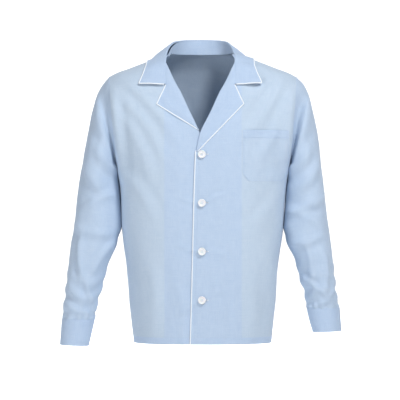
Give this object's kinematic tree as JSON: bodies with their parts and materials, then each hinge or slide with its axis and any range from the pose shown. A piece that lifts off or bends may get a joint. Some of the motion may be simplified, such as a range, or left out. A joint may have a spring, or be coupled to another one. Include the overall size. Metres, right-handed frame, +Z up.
{
  "type": "patient jacket",
  "caption": "Long-sleeved button-front patient jacket with notched collar, piped edges, chest pocket and cuffs, in the shape it has when worn.",
  "frame": {"origin": "middle of the neck, level with the neck ends of the shoulder seams", "axes": "+Z up along the wearer's trunk, -Y to the wearer's front, +X to the wearer's left"},
  "size_m": [0.7136, 0.2935, 0.7823],
  "materials": {
    "cloth": "fine plain-weave cotton, matt",
    "double_cloth": "two layers of the same cotton, matt",
    "piping": "white corded piping, matt",
    "button": "moulded, soft gloss",
    "thread": "spun sewing thread"
  },
  "bodies": {
    "root": {"back_panel": "cloth", "left_front": "cloth", "right_front": "cloth", "left_facing": "double_cloth", "right_facing": "double_cloth", "collar_stand": "cloth", "collar_fall": "double_cloth", "collar_piping": "piping", "front_edge_piping": "piping", "chest_pocket": "cloth", "left_lapel_top": "double_cloth", "right_lapel_top": "double_cloth", "left_sleeve_head": "cloth", "right_sleeve_head": "cloth", "button_1_thread": "thread", "button_2_thread": "thread", "button_3_thread": "thread", "button_4_thread": "thread"},
    "left_lapel_flap": {"left_lapel": "double_cloth", "left_lapel_piping": "piping"},
    "right_lapel_flap": {"right_lapel": "double_cloth", "right_lapel_piping": "piping"},
    "left_upper_arm": {"left_sleeve_upper": "cloth"},
    "left_forearm": {"left_sleeve_lower": "cloth", "left_cuff": "double_cloth"},
    "right_upper_arm": {"right_sleeve_upper": "cloth"},
    "right_forearm": {"right_sleeve_lower": "cloth", "right_cuff": "double_cloth"},
    "button_1_disc": {"button_1": "button"},
    "button_2_disc": {"button_2": "button"},
    "button_3_disc": {"button_3": "button"},
    "button_4_disc": {"button_4": "button"}
  },
  "joints": [
    {"name": "left_lapel_lift", "type": "hinge", "parent": "root", "child": "left_lapel_flap", "pos_m": [-0.0194, -0.1325, -0.232], "axis": [-0.3948, -0.1623, -0.9043], "range_deg": [0, 40]},
    {"name": "right_lapel_lift", "type": "hinge", "parent": "root", "child": "right_lapel_flap", "pos_m": [-0.014, -0.1267, -0.176], "axis": [-0.4361, 0.1992, 0.8776], "range_deg": [0, 40]},
    {"name": "left_sleeve_raise", "type": "hinge", "parent": "root", "child": "left_upper_arm", "pos_m": [0.3048, -0.001, -0.2616], "axis": [0, -1, 0], "range_deg": [0, 40]},
    {"name": "left_elbow_bend", "type": "hinge", "parent": "left_upper_arm", "child": "left_forearm", "pos_m": [0.2649, -0.076, -0.405], "axis": [-0.9868, 0, -0.1621], "range_deg": [0, 45]},
    {"name": "right_sleeve_raise", "type": "hinge", "parent": "root", "child": "right_upper_arm", "pos_m": [-0.30863, -0.001, -0.26162], "axis": [0, 1, 0], "range_deg": [0, 40]},
    {"name": "right_elbow_bend", "type": "hinge", "parent": "right_upper_arm", "child": "right_forearm", "pos_m": [-0.26802, -0.076, -0.405], "axis": [-0.9881, 0, 0.1536], "range_deg": [0, 45]},
    {"name": "button_1_tilt", "type": "hinge", "parent": "root", "child": "button_1_disc", "pos_m": [-0.003, -0.1366, -0.2505], "axis": [1, 0, 0], "range_deg": [-10, 10]},
    {"name": "button_2_tilt", "type": "hinge", "parent": "root", "child": "button_2_disc", "pos_m": [-0.003, -0.1418, -0.3721], "axis": [1, 0, 0], "range_deg": [-10, 10]},
    {"name": "button_3_tilt", "type": "hinge", "parent": "root", "child": "button_3_disc", "pos_m": [-0.003, -0.14438, -0.4937], "axis": [1, 0, 0], "range_deg": [-10, 10]},
    {"name": "button_4_tilt", "type": "hinge", "parent": "root", "child": "button_4_disc", "pos_m": [-0.003, -0.14795, -0.6153], "axis": [1, 0, 0], "range_deg": [-10, 10]}
  ]
}
